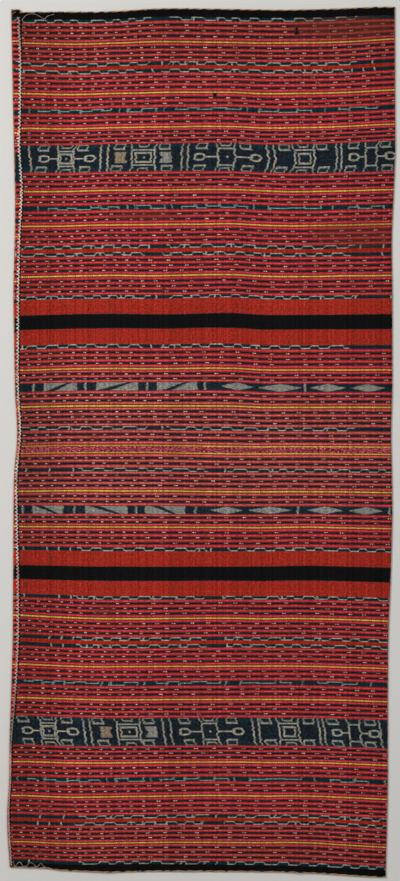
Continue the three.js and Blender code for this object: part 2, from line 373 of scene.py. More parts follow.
class Panel:
    """One loom width, wrapped once round the tube."""

    def __init__(self, name, lines, way, number):
        self.name = name
        self.way = way
        self.number = number
        self.outs = np.array([ROWS[0].low] + [row.high for row in ROWS])
        self.marks = [mark for mark, _ in lines]
        self.lines = []
        for _, column in lines:
            table = ENDS if column in ENDS else SWAY
            self.lines.append(along(table, "x", column))
        self.lap_shift = along(LAP_SHIFT, "out", "upper" if way > 0 else "lower")

    def height(self, out, x):
        """Where a line of the chart lies on the front, at x."""
        out = np.asarray(out, float)
        x = np.asarray(x, float)
        shape = np.broadcast(out, x).shape
        out, x = np.broadcast_to(out, shape), np.broadcast_to(x, shape)
        made = np.zeros(shape)
        for i in range(len(self.marks) - 1):
            low, high = self.marks[i], self.marks[i + 1]
            inside = (out >= low) & (out <= high)
            t = (out - low) / (high - low)
            value = self.lines[i](x) * (1 - t) + self.lines[i + 1](x) * t
            made = np.where(inside, value, made)
        gap = self.way * JOIN_GAP / 2 * np.clip(1 - out / JOIN_REACH, 0, 1)
        sway = FINE_SWAY["high"] * soft_noise(x, out, FINE_SWAY["grain"], FINE_SWAY["seed"] + self.number)
        sway = sway * np.clip(out / SWAY_RIM, 0, 1)
        return made + gap + sway * np.clip((self.marks[-1] - out) / SWAY_RIM, 0, 1)

    def surface(self):
        """The sheet's middle and outward direction for every row line and station."""
        outs = self.outs[:, None]
        level_left = self.height(outs, LEFT_PLACE)
        level_right = self.height(outs, RIGHT_PLACE)
        shift = self.lap_shift(outs)
        left = left_at(level_left)
        right = right_at(level_right)
        seam = np.maximum(seam_at(level_left), left + LAP_LEAST)
        right_middle = right - THICK / 2 - RIGHT_BEND
        left_middle = left + THICK / 2 + LEFT_BEND
        parts = []

        steps = np.linspace(0, 1, FRONT_STEPS + 1)[None, :]
        x = (left + START_INSET) * (1 - steps) + right_middle * steps
        y = self.height(outs, x)
        parts.append((x, y, FRONT_Z + lift(x, y, seam, right)))

        turn = np.pi * np.arange(1, FOLD_STEPS)[None, :] / FOLD_STEPS
        x = right_middle + RIGHT_BEND * np.sin(turn)
        y = self.height(outs, x)
        parts.append((x, y, BACK_Z + RIGHT_BEND + RIGHT_BEND * np.cos(turn) + 0 * x))

        steps = np.linspace(0, 1, BACK_STEPS + 1)[None, :]
        x = right_middle * (1 - steps) + left_middle * steps
        near_fold = 1 - smooth_step((x - left) / RISE_WIDTH)
        short = self.way * BACK_SHORT * (outs / self.marks[-1]) * (1 - near_fold)
        y = self.height(outs, x) - short + shift * near_fold
        parts.append((x, y, BACK_Z + 0 * x))

        x = left_middle - LEFT_BEND * np.sin(turn)
        y = self.height(outs, x) + shift
        parts.append((x, y, BACK_Z + LEFT_BEND - LEFT_BEND * np.cos(turn) + 0 * x))

        steps = np.linspace(0, 1, LAP_STEPS + 1)[None, :]
        x = left_middle * (1 - steps) + seam * steps
        y = self.height(outs, x) + shift
        ripple = LAP_RIPPLE["high"] * soft_noise(x, y, LAP_RIPPLE["grain"], LAP_RIPPLE["seed"])
        ripple = ripple * smooth_step((x - left_middle) / LAP_RIPPLE["rim"])
        parts.append((x, y, LAP_Z + ripple))

        x, y, z = [np.concatenate(pieces, axis=1) for pieces in zip(*parts)]
        layer = np.concatenate([np.full(part[0].shape[1], i) for i, part in enumerate(parts)])
        step = np.hypot(np.diff(x, axis=1), np.diff(z, axis=1))
        run = np.concatenate([np.zeros((len(x), 1)), np.cumsum(step, axis=1)], axis=1)
        warp = run + x[:, :1]
        dx, dz = np.gradient(x, axis=1), np.gradient(z, axis=1)
        length = np.hypot(dx, dz)
        out_x, out_z = -dz / length, dx / length
        out_x[:, layer == BACK], out_z[:, layer == BACK] = 0.0, -1.0
        return x, y, z, out_x, out_z, warp, layer, x - seam

    def build(self):
        x, y, z, out_x, out_z, warp, layer, off_seam = self.surface()
        rows, stations = x.shape
        half = THICK / 2
        outer = np.stack([x + out_x * half, y, z + out_z * half], axis=-1).reshape(-1, 3)
        inner = np.stack([x - out_x * half, y, z - out_z * half], axis=-1).reshape(-1, 3)
        grid = np.arange(rows * stations).reshape(rows, stations)
        under = grid + rows * stations
        ring = np.concatenate([grid, under[:, ::-1]], axis=1)
        onward = np.roll(ring, -1, axis=1)
        faces = [np.stack([ring[:-1], onward[:-1], onward[1:], ring[1:]], -1).reshape(-1, 4)]
        face_rows = [np.repeat(np.arange(rows - 1), ring.shape[1])]
        for edge, row in ((0, 0), (rows - 1, rows - 2)):
            strip = np.stack([grid[edge, 1:], grid[edge, :-1], under[edge, :-1], under[edge, 1:]], -1)
            faces.append(strip if edge == 0 else strip[:, ::-1])
            face_rows.append(np.full(len(strip), row))
        faces = np.concatenate(faces)
        if self.way < 0:
            faces = faces[:, ::-1]
        face_rows = np.concatenate(face_rows)

        mesh = bpy.data.meshes.new(self.name)
        points = np.concatenate([outer, inner]) * MM
        mesh.from_pydata(points.tolist(), [], faces.tolist())
        mesh.polygons.foreach_set("use_smooth", np.ones(len(mesh.polygons), bool))
        mesh.set_sharp_from_angle(angle=math.radians(55))

        on_fold = np.isin(layer, (RIGHT_FOLD, LEFT_FOLD))
        on_front = layer <= RIGHT_FOLD
        columns = {"cloth": (warp, self.outs[:, None], on_fold), "side": (off_seam, on_front, 0)}
        for name, parts in columns.items():
            values = np.stack([part + 0.0 * x for part in parts], -1).reshape(-1, 3)
            store(mesh, name, "FLOAT_VECTOR", "POINT", np.tile(values, (2, 1)))
        bands = np.array([(KINDS[row.kind], row.middle, row.half) for row in ROWS], float)
        store(mesh, "band", "FLOAT_VECTOR", "FACE", bands[face_rows])
        dyes = np.array([ground_colour(row.middle, row.tint) if row.kind == "ground" else linear(row.dye)
                         for row in ROWS])
        store(mesh, "dye", "FLOAT_COLOR", "FACE", dyes[face_rows])
        return add_object(self.name, mesh)


def add_object(name, data):
    """Puts a new object in the scene."""
    made = bpy.data.objects.new(name, data)
    bpy.context.scene.collection.objects.link(made)
    return made


def store(mesh, name, kind, domain, values):
    """Puts an attribute on a mesh."""
    layer = mesh.attributes.new(name, kind, domain)
    field = "color" if kind == "FLOAT_COLOR" else "vector"
    layer.data.foreach_set(field, np.ascontiguousarray(values, dtype=np.float32).reshape(-1))


class Field:
    """A number or a colour that varies over a surface, worked out by nodes."""

    def __init__(self, tree, socket):
        self.tree = tree
        self.socket = socket

    def math(self, operation, *others):
        node = self.tree.nodes.new("ShaderNodeMath")
        node.operation = operation
        for slot, value in zip(node.inputs, (self, *others)):
            plug(slot, value)
        return Field(self.tree, node.outputs[0])

    def __add__(self, other):
        return self.math("ADD", other)

    def __sub__(self, other):
        return self.math("SUBTRACT", other)

    def __rsub__(self, other):
        return self * -1.0 + other

    def __mul__(self, other):
        return self.math("MULTIPLY", other)

    def __truediv__(self, other):
        return self.math("DIVIDE", other)

    def __pow__(self, other):
        return self.math("POWER", other)

    def __abs__(self):
        return self.math("ABSOLUTE")

    def above(self, other):
        return self.math("GREATER_THAN", other)

    def below(self, other):
        return self.math("LESS_THAN", other)

    def larger(self, other):
        return self.math("MAXIMUM", other)

    def smaller(self, other):
        return self.math("MINIMUM", other)

    def floor(self):
        return self.math("FLOOR")

    def sine(self):
        return self.math("SINE")

    def rise(self, low, high):
        """0 below low, 1 above high, and smooth between."""
        node = self.tree.nodes.new("ShaderNodeMapRange")
        node.interpolation_type = "SMOOTHSTEP"
        plug(node.inputs["Value"], self)
        plug(node.inputs["From Min"], low)
        plug(node.inputs["From Max"], high)
        return Field(self.tree, node.outputs["Result"])

    def line(self, half, soft=0.45):
        """1 where this distance is under half, with a soft edge."""
        return 1.0 - abs(self).rise(half - soft, half + soft)


def plug(slot, value):
    """Links a field to a socket, or sets the socket to a number, a colour or a named colour."""
    if isinstance(value, Field):
        value.tree.links.new(value.socket, slot)
    else:
        slot.default_value = linear(value) if isinstance(value, str) else value


def start_material(name):
    material = bpy.data.materials.new(name)
    material.use_nodes = True
    tree = material.node_tree
    return material, tree, tree.nodes["Principled BSDF"]


def attribute(tree, name, output="Vector"):
    node = tree.nodes.new("ShaderNodeAttribute")
    node.attribute_name = name
    return Field(tree, node.outputs[output])


def split(field):
    node = field.tree.nodes.new("ShaderNodeSeparateXYZ")
    plug(node.inputs[0], field)
    return [Field(field.tree, part) for part in node.outputs]


def object_place(tree):
    """The place on the object, in millimetres, across, along and up."""
    node = tree.nodes.new("ShaderNodeTexCoord")
    return [part * (1 / MM) for part in split(Field(tree, node.outputs["Object"]))]


def vector(x, y, z):
    node = x.tree.nodes.new("ShaderNodeCombineXYZ")
    for slot, value in zip(node.inputs, (x, y, z)):
        plug(slot, value)
    return Field(x.tree, node.outputs[0])


def noise(x, y, z=0.0, detail=2.0):
    """Smooth noise, 0 to 1 about 0.5, with hills about one unit apart."""
    node = x.tree.nodes.new("ShaderNodeTexNoise")
    node.inputs["Scale"].default_value = 1.0
    node.inputs["Detail"].default_value = detail
    plug(node.inputs["Vector"], vector(x, y, z))
    return Field(x.tree, node.outputs["Fac"])


def random(x, y):
    """An even random number, 0 to 1, for each whole x and y."""
    node = x.tree.nodes.new("ShaderNodeTexWhiteNoise")
    node.noise_dimensions = "2D"
    plug(node.inputs["Vector"], vector(x, y, 0.0))
    return Field(x.tree, node.outputs["Value"])


def blend(share, first, second, mode="MIX"):
    """A colour between two, by the second's share."""
    parts = (share, first, second)
    tree = next(part.tree for part in parts if isinstance(part, Field))
    node = tree.nodes.new("ShaderNodeMix")
    node.data_type = "RGBA"
    node.blend_type = mode
    for slot, value in zip((0, 6, 7), parts):
        plug(node.inputs[slot], value)
    return Field(tree, node.outputs[2])


def add_bump(shader, height, strength, distance):
    """Roughens a surface by a height field, whose unit is a distance in metres."""
    node = height.tree.nodes.new("ShaderNodeBump")
    node.inputs["Strength"].default_value = strength
    node.inputs["Distance"].default_value = distance
    plug(node.inputs["Height"], height)
    plug(shader.inputs["Normal"], Field(height.tree, node.outputs[0]))


# The main ikat band's cells: where its double and single lines stand, the middles of its figures, how
# far its corner boxes stand off those, and how its lines lean and bow along the warp
CELLS = {
    "upper": {
        "double": (-157.0, -26.3, 109.0, 221.5), "apart": (5.8, 4.9, 5.3, 4.1),
        "single": -277.4, "slant": 0.16, "lean": 0.03, "bow": 5.8,
        "middle": (-219.1, -93.6, 38.3, 163.0, 275.6),
        "corner_off": (-4.5, -2.6, -3.0, -0.4, -3.4),
    },
    "lower": {
        "double": (-183.8, -54.3, 90.3, 196.4), "apart": (5.3, 6.0, 4.9, 4.1),
        "single": 291.2, "slant": 0.0, "lean": 0.14, "bow": 0.0,
        "middle": (-246.6, -116.7, 14.7, 143.0, 249.6),
        "corner_off": (-4.7, -7.1, -1.0, -1.0, -3.6),
    },
}

# What each figure has. Arms end in ovals; blocks stand beside a box.
FIGURES = {
    "body": (11.9, 18.0, 12.0, 15.7, 8.5),
    "rung": (11.8, 12.5, 12.8, 13.0, 13.6),
    "box": (8.9, 12.4, 0.0, 9.3, 0.0),
    "dot": (1, 1, 1, 0, 0),
    "foot": (1, 1, 1, 1, 0),
    "arms": (1, 0, 1, 0, 1),
    "blocks": (0, 1, 0, 0, 0),
    "corner": (33.3, 38.8, 36.3, 32.9, 28.2),
    "oval": (37.0, 36.3, 43.4, 36.0, 30.2),
    "oval_off": (1.9, 0.0, 2.0, 0.0, 1.0),
}

# The slash band: the middles and half lengths of its undyed fields, the first three cut by a dark
# slash and the rest lens shaped, the lines between them, its ticks, and the slashes' slopes
SLASHES = {
    "upper": {
        "middle": (-228.8, -136.5, -39.3, 57.9, 127.6, 205.3, 270.1),
        "half": (26.7, 34.0, 32.4, 26.0, 35.6, 29.0, 27.5),
        "edges": (-188.3, -87.9, 6.1, 92.7, 168.0, 238.0),
        "ticks": (-272.5, -188.3, -87.9, 6.1, 168.0),
        "slope": (0.42, 0.31, 0.40, 0.0, 0.0, 0.0, 0.0),
    },
    "lower": {
        "middle": (-249.1, -154.3, -58.7, 41.0, 110.5, 200.5, 266.9),
        "half": (25.1, 34.0, 32.4, 26.0, 35.6, 29.0, 27.5),
        "edges": (-206.0, -105.7, -10.0, 76.0, 154.0, 234.0),
        "ticks": (-290.0, -206.0, -105.7, -10.0, 156.7, 305.0),
        "slope": (0.43, 0.34, 0.43, 0.0, 0.0, 0.0, 0.0),
    },
}
SLASH_FIELDS = 3

# The roundness of the ovals, and the length of warp in which the pattern comes round again
OVAL_POWER = 2.6
PATTERN_LENGTH = 628.0
PATTERN_START = -314.0

# Stains and spots on the front: place, half sizes, how strong, and how ragged
STAINS = [
    {"x": -93.6, "y": 365.7, "wide": 70, "high": 8, "strength": 0.50},
    {"x": 249.0, "y": 337.0, "wide": 78, "high": 30, "strength": 0.38},
    {"x": 238.0, "y": 672.0, "wide": 100, "high": 22, "strength": 0.50},
    {"x": 155.0, "y": 664.0, "wide": 4, "high": 12, "strength": 0.85},
    {"x": 22.3, "y": 562.8, "wide": 3.4, "high": 4.2, "strength": 1.30},
    {"x": -60.3, "y": 248.3, "wide": 4, "high": 4, "strength": 0.80},
    {"x": -243.4, "y": -187.5, "wide": 4, "high": 4, "strength": 0.75},
    {"x": -284.0, "y": -231.0, "wide": 4, "high": 5, "strength": 0.75},
    {"x": -199.7, "y": 44.0, "wide": 8, "high": 5, "strength": 0.55},
    {"x": -172.0, "y": 8.5, "wide": 9, "high": 7, "strength": 0.50},
    {"x": -156.0, "y": -272.0, "wide": 20, "high": 11, "strength": 0.40},
]

# The middle bands' stepped lines: each row is where a stretch starts and its level, from -1 at the
# band's inner edge to 1 at its outer edge. At 2 and -2 the line is off the band.
STEP = {"height": 2.7, "half": 0.85}
LADDERS = {
    "upper inner": (
        (-314, 2), (-264, -2), (-248, 0), (-234, -0.9), (-217, 2), (-216, 0), (-203, -0.9), (-180, 2),
        (-178, 0), (-166, 2), (-163, -0.9), (-154, -2), (-151, 0.1), (-134, -2), (-120, 2), (-107, -2),
        (-104, 0.9), (-82, -0.9), (-60, 2), (-47, -2), (-31, 0.1), (-10, 2), (-8, -0.9), (8, 2),
        (10, 0.1), (29, 2), (31, -0.8), (55, 2), (58, 0.1), (74, -2), (85, 2), (110, -2), (112, -0.2),
        (140, 0.2), (167, 2), (169, -0.2), (194, 2), (213, -2), (238, 0), (252, 2), (254, -0.9),
        (277, 0.3), (296, -2)
    ),
    "upper outer": (
        (-314, -2), (-279, 2), (-264, 0), (-245, 0.8), (-231, -2), (-229, 0), (-214, 0.8), (-196, -2),
        (-194, 0), (-177, 0.9), (-161, 0), (-146, 2), (-132, -2), (-119, 2), (-117, -1), (-96, 2),
        (-94, 0.9), (-73, -2), (-61, 2), (-41, 0), (-22, 0.9), (-6, 0), (16, 0.8), (40, 0), (63, 2),
        (74, -2), (94, 2), (96, -0.5), (123, 2), (125, -1), (155, 2), (157, 0), (179, -2), (201, 2),
        (223, 0), (239, -2), (241, 0.9), (267, 0), (285, 2)
    ),
    "lower inner": (
        (-314, -2), (-286, -0.3), (-273, -1), (-258, 2), (-256, 0), (-241, 2), (-239, -0.9), (-222, 2),
        (-220, 0), (-206, -0.8), (-188, 0), (-167, -2), (-161, 2), (-149, -2), (-146, 1), (-125, -0.8),
        (-102, 2), (-91, -2), (-73, 0), (-56, 2), (-54, -0.9), (-36, 2), (-34, 0), (-17, -0.9), (8, 0),
        (30, -2), (40, 2), (63, -2), (65, 0), (91, 0.3), (121, -2), (129, 0), (145, 2), (164, -2),
        (190, 0), (204, -0.9), (229, 2), (231, 0.2), (252, -2), (275, 2)
    ),
    "lower outer": (
        (-314, -2), (-299, 2), (-282, -0.2), (-268, 0.7), (-264, 2), (-254, -2), (-252, 0), (-236, 2),
        (-234, 0.9), (-218, -2), (-216, 0.2), (-200, -2), (-198, 1), (-182, 0), (-166, 2), (-153, -2),
        (-139, 2), (-137, -0.9), (-118, 1), (-94, -2), (-81, 2), (-67, 0), (-46, -2), (-44, 1),
        (-27, -2), (-25, -0.1), (-5, -2), (-3, 1), (20, -2), (22, -0.1), (43, 2), (53, -2), (78, 2),
        (80, 0), (105, -0.3), (136, 0), (162, -2), (183, 2), (209, -0.2), (225, 0.9), (247, -2),
        (249, 0), (270, 2), (298, -2)
    ),
}

# The two middle bands lie on either side of this line of the chart
LADDER_TURN = 470.0

# Where the narrow bands' wave leaves off and only ticks are left
RESTS = {"upper": ((-88.0, -58.0), (247.0, 330.0)), "lower": ((-330.0, -203.0), (8.0, 40.0))}

# The narrow bands' wave, and the pitch of their ticks
WAVE_LINE = {"period": 33.0, "height": 2.15, "half": 0.85}
TICK_PITCH = 19.0

# A bound group of warp yarns and one yarn, the steps of the ikat's outlines across the warp, the pitch
# of the wefts and of their crossings
YARN_GROUP = 1.6
YARN = 0.62
STAIR = 1.1
WEFT = 1.7
CROSSING = 2.2

# What sets the two loom widths' dyes apart, and how much painted shade darkens each near its open end, where
# less light falls
OWN_SEED = {"upper": 3.0, "lower": 7.0}
END_PAINTED_SHADE = {"upper": 0.18, "lower": 0.11}
JOIN_LEVEL = -12

# Where the flecks' pitch changes, and the pitch on both sides
FLECK_TURN = -90.0
FLECK_LEFT, FLECK_RIGHT = 18.5, 26.5


def chooser(place, edges):
    """A function that picks the value of the stretch that a place is in."""
    passed = [place.above(edge) for edge in edges]

    def pick(values):
        made = values[0]
        for step, before, after in zip(passed, values, values[1:]):
            if after != before:
                made = step * (after - before) + made
        return made

    return pick


def main_band(u, w, part):
    """The undyed figures of the main ikat band, 0 to 1, and its blocks by themselves, all and left.

    w runs across the band from its middle.
    """
    cells = CELLS[part]
    pick = chooser(u, cells["double"])
    x = u - pick(cells["middle"])
    side, up = abs(x), abs(w)
    body = pick(FIGURES["body"]) + (up - 13.5).larger(0.0) * 0.35 + (5.0 - up).larger(0.0) * 0.28

    marks = (side - body).line(1.25)
    marks = marks.larger((up - pick(FIGURES["rung"])).line(1.05, 0.3) * side.below(body))
    box = pick(FIGURES["box"])
    ring = (side - box).larger(up - 7.3)
    marks = marks.larger(ring.line(1.25, 0.35) * box.above(1.0))
    marks = marks.larger(side.larger(up).line(1.5) * pick(FIGURES["dot"]))
    foot = (side + (22.0 - up).larger(0.0) * 0.5 - 8.7).larger(abs(up - 23.0) - 5.6)
    marks = marks.larger(foot.line(1.1, 0.35) * pick(FIGURES["foot"]))

    corner = abs(x - pick(cells["corner_off"])) - pick(FIGURES["corner"])
    ring = (abs(corner + w * 0.12) - 7.9).larger(abs(up - 17.8) - 4.1)
    marks = marks.larger(ring.line(1.15, 0.35))

    arms = pick(FIGURES["arms"])
    reach = abs(x - pick(FIGURES["oval_off"])) - pick(FIGURES["oval"])
    oval = ((up / 4.9) ** OVAL_POWER + (abs(reach) / 7.6) ** OVAL_POWER) ** (1 / OVAL_POWER) - 1.0
    marks = marks.larger((oval * 5.4).line(1.25) * arms)
    arm = up.line(1.2, 0.3) * reach.below(-7.5) * side.above(body)
    marks = marks.larger(arm * arms)

    notch = (reach * -1.0).below(up * 0.75 + 5.0)
    block = abs(reach).line(9.4, 0.5) * up.line(8.4, 0.35) * notch * pick(FIGURES["blocks"])
    marks = marks.larger(block)

    nearest = 9.0
    for edge, half in zip(cells["double"], cells["apart"]):
        nearest = abs(abs(u - edge) - half).smaller(nearest)
    marks = marks.larger(nearest.line(1.3))
    marks = marks.larger((u - cells["single"] + w * cells["slant"]).line(1.35))
    return marks, block, block * x.below(0.0)


def slash_band(u, w, part):
    """The undyed fields of the slash band, 0 to 1."""
    plan = SLASHES[part]
    pick = chooser(u, plan["edges"])
    x = u - pick(plan["middle"])
    half = pick(plan["half"])
    field = 1.0 - (abs(x) - half).rise(-0.8, 0.8)
    slash = 1.0 - (abs(w - x * pick(plan["slope"])) + x * 0.045).rise(1.9, 2.9)
    lens = 1.0 - (abs(w) - (1.0 - abs(x) / half) * 6.3).rise(-0.5, 0.7)
    first = u.below(plan["edges"][SLASH_FIELDS - 1])
    marks = field * (1.0 - slash) * first + lens * (1.0 - first)
    for tick in plan["ticks"]:
        marks = marks.larger((u - tick).line(1.6, 0.7))
    return marks * 0.88


def level_at(u, chart):
    """The level that a charted line has at u.

    Two colour ramps hold it, one for each half of the pattern, with levels of -2 to 2 as alphas of 0 to 1.
    """
    turn, end = 0.0, PATTERN_START + PATTERN_LENGTH
    halves = []
    for low, high in ((PATTERN_START, turn), (turn, end)):
        node = u.tree.nodes.new("ShaderNodeValToRGB")
        ramp = node.color_ramp
        ramp.interpolation = "CONSTANT"
        stops = [(low, [level for x, level in chart if x <= low][-1])]
        stops += [(x, level) for x, level in chart if low < x < high]
        for x, level in stops[1:]:
            ramp.elements.new((x - low) / (high - low)).alpha = level / 4 + 0.5
        ramp.elements[0].alpha = stops[0][1] / 4 + 0.5
        ramp.elements[len(ramp.elements) - 1].alpha = stops[-1][1] / 4 + 0.5
        plug(node.inputs["Fac"], (u - low) / (high - low))
        halves.append(Field(u.tree, node.outputs["Alpha"]))
    left, right = halves
    return (left + (right - left) * u.above(turn)) * 4.0 - 2.0


def stepped_line(u, w, chart):
    """A thin undyed line that runs at charted levels across a band, with a tick at each change."""
    before, after = [level_at(u + off, chart) * STEP["height"] for off in (-STEP["half"], STEP["half"])]
    off_line = abs(w - (before + after) * 0.5) - abs(before - after) * 0.5
    return 1.0 - off_line.rise(STEP["half"] - 0.4, STEP["half"] + 0.3)


def narrow_line(at, u):
    """The narrow bands' undyed line, 0 to 1: a stepping wave with its rests, and ticks."""
    wander = noise(at.warp / 70.0, at.middle, detail=1.0) * 46.0
    turn = WAVE_LINE["period"] / 2
    swing = ((u + wander + at.row_seed * 40.0).math("PINGPONG", turn) / turn - 0.5) * 6.0
    swing = swing.larger(-0.5).smaller(0.5) * (2 * WAVE_LINE["height"])
    line = (at.w - swing).line(WAVE_LINE["half"], 0.35)
    shifted = u + at.row_seed * 16.0 - 8.0
    rest = 0.0
    for low, high in RESTS[at.part]:
        rest = shifted.above(low) * shifted.below(high) + rest
    ticks = u / TICK_PITCH + at.row_seed * 5.0
    cell = ticks.floor()
    tick = ((ticks - cell - 0.5) * TICK_PITCH).line(1.1)
    return (line * (1.0 - rest)).larger(tick * random(cell, at.middle).above(0.84 - rest * 0.24))


def flecks(at):
    """The undyed flecks of the dashed lines, 0 to 1."""
    turned = at.warp - FLECK_TURN
    phase = turned / FLECK_RIGHT + turned.smaller(0.0) * (1 / FLECK_LEFT - 1 / FLECK_RIGHT) + at.row_seed
    cell = phase.floor()
    luck = random(cell, at.middle)
    apart = (phase - cell - 0.5) * FLECK_RIGHT + (luck - 0.5) * 6.0
    peak = abs(abs(apart) - 1.5 - luck * 0.5) + at.w * 0.9
    fleck = (1.0 - peak.rise(0.35, 1.1)) * (at.w - (luck - 0.5) * 0.8).line(0.85, 0.3)
    return fleck * luck.rise(0.03, 0.15) * (luck * 0.5 + 0.85) * (1.0 - turned.rise(0.0, 240.0) * 0.25)


def ikat_marks(at):
    """The undyed marks of all the bands, 0 to 1, and the main band's blocks, all and left."""
    part, on, w = at.part, at.on, at.w
    cells = CELLS[part]

    # The bound groups of warp yarns slip a little against each other when the loom is dressed
    slip = random(at.group, 1.0) - 0.5
    drift = noise(at.warp / 38.0, at.out / 11.0, detail=1.0) - 0.5
    u = (at.warp - PATTERN_START) / PATTERN_LENGTH
    u = (u - u.floor()) * PATTERN_LENGTH + PATTERN_START
    u = u + slip * 2.6 + drift * 4.0
    steps = ((w / STAIR).floor() + 0.5) * STAIR

    bow = (1.0 - w * w / 490.0) * (1.0 - abs(at.warp - 130.0).rise(30.0, 150.0)) * cells["bow"]
    figures, blocks, left_blocks = main_band(u - w * cells["lean"] - bow, steps, part)
    figures = figures * (1.0 - (1.0 - at.front) * at.off_seam.above(-22.0))
    ladder = stepped_line(u, w, LADDERS[part + " inner"])
    outer_ladder = stepped_line(u, w, LADDERS[part + " outer"])
    ladder = ladder + (outer_ladder - ladder) * at.middle.above(LADDER_TURN)
    marks = figures * on["main"] + slash_band(u, steps, part) * on["slash"] + ladder * on["middle"]
    marks = marks + narrow_line(at, u) * on["narrow"] + flecks(at) * on["dash"]
    return marks, blocks, left_blocks


def ground_dyes(at):
    """The dyed colour of every stripe and band."""
    on, warp, out, edge = at.on, at.warp, at.out, at.edge

    # Navy turns teal towards a band's edges, and black has a teal line there
    patch = noise(warp / 13.0, out / 5.0).rise(0.32, 0.58)
    teal = (edge.rise(0.5, 0.95) * patch * on["main"]).larger(edge.rise(0.8, 1.0) * on["black"] * 0.5)
    base = blend(teal, at.dye, "teal")
    patch = noise(warp / 13.0, at.middle).rise(0.42, 0.62)
    base = blend(patch * on["dash"] * 0.5, base, "dash brown")
    patch = noise(warp / 9.0, out / 2.5).rise(0.35, 0.65)
    base = blend(patch * (on["narrow"] + on["middle"]) * 0.5, base, "navy")
    patch = noise(warp / 9.0, out / 3.0, detail=1.0)
    base = blend(patch * on["slash"] * 0.6, base, "teal")
    patch = noise(warp / 4.0, out / 2.2).rise(0.4, 0.7)
    base = blend(patch * (on["main"] + on["slash"]) * 0.6, base, "slate")

    # Plain red stripes are paler and pinker along their middles, in streaks
    streak = noise(warp / 55.0, out / 0.9)
    crown = (1.0 - edge * edge).larger(0.0) ** 4.5
    pink = crown * (streak + 0.38).smaller(1.0) * on["ground"]
    rosy = noise(warp / 80.0, at.middle).rise(0.45, 0.6) * 0.5
    paler = (at.near_join * 0.85).larger(out.rise(570.0, 680.0) * 0.45)
    centre = blend(paler, blend(rosy, "pink", "rose"), "pale pink")
    base = blend(pink * (0.94 - at.left_side * 0.36), base, centre)

    # The plum stripe at the join is flecked, light and dark
    flecked = noise(warp / 3.2, out / 1.7, at.own, detail=1.0)
    base = blend(flecked.rise(0.51, 0.58) * on["plum"], base, "plum light")
    base = blend((1.0 - flecked.rise(0.4, 0.48)) * on["plum"], base, "plum dark")

    # Yellow stripes look dotted, because a weft shows between the floats of so few yarns
    dots = ((warp * (math.pi / WEFT)).sine() * 0.5 + 0.5).rise(0.2, 0.8) * 0.6
    at_join = 1.0 - out.rise(8.0, 9.0)
    dots = dots.larger(at_join * (0.5 - at.px.rise(-60.0, 30.0) * 0.45) + 0.08)
    return blend(dots * on["yellow"], base, "olive")


def undyed_colour(at, blocks, left_blocks):
    """The colour of the undyed cotton in each band."""
    on, warp, out = at.on, at.warp, at.out
    warm = noise(warp / 14.0, out / 6.0).rise(0.4, 0.6)
    speck = noise(warp / 2.6, out / 1.4, detail=1.0).rise(0.42, 0.6)
    colour = blend(warm * (1.0 - on["slash"] * 0.5), "undyed", "undyed warm")
    for share, name in (
        (speck * on["slash"] * 0.5, "slate"),
        (at.edge.rise(0.5, 1.0) * on["main"] * 0.4, "teal"),
        (blocks * on["main"] * 0.8, "block grey"),
        (left_blocks * on["main"] * 0.8, "block tan"),
        (on["dash"], "fleck"),
        (on["narrow"], "line"),
        (on["middle"], "pale teal"),
    ):
        colour = blend(share, colour, name)
    return colour


def undyed_share(at, marks):
    """How much of the undyed cotton shows in its marks, where dye crept in and floats are stitched."""
    worn_dye = noise(at.warp / 3.4, at.out / 1.9).rise(0.32, 0.62)
    share = (marks * (worn_dye * 0.7 + 0.52 + at.float_phase * 0.4)).smaller(1.0)
    return share * (1.0 - (at.on["narrow"] + at.on["middle"]) * (0.22 - at.float_phase * 0.22))


def uneven_tone(at):
    """How dark or light the dye took, from yarn to yarn and along each, and the painted shade that darkens
    the cloth towards its open ends.
    """
    tone = random(at.yarn, 5.0) * 0.22 + noise(at.warp / 17.0, at.yarn, detail=1.0) * 0.3 + 0.74
    broad = noise(at.warp / 120.0, at.out / 90.0, at.own, detail=3.0) * 0.26 + 0.87
    weft_tone = random((at.warp / WEFT).floor(), 9.0) * 0.44 + 0.78
    grain = noise(at.warp / 3.6, at.out / 2.2, at.own).rise(0.3, 0.7) * 0.76 + 0.62
    tone = tone * broad * weft_tone * grain * (at.float_phase * 0.12 + 1.0)
    tone = tone * (1.0 - at.left_side * (at.near_join * 0.07 + 0.12))
    tone = tone * (1.0 - at.px.rise(215.0, 300.0) * at.front * 0.06)
    # Painted shade: the cloth darkens towards its open ends, where less light falls.
    return tone * (1.0 - at.out.rise(590.0, 665.0) * END_PAINTED_SHADE[at.part])


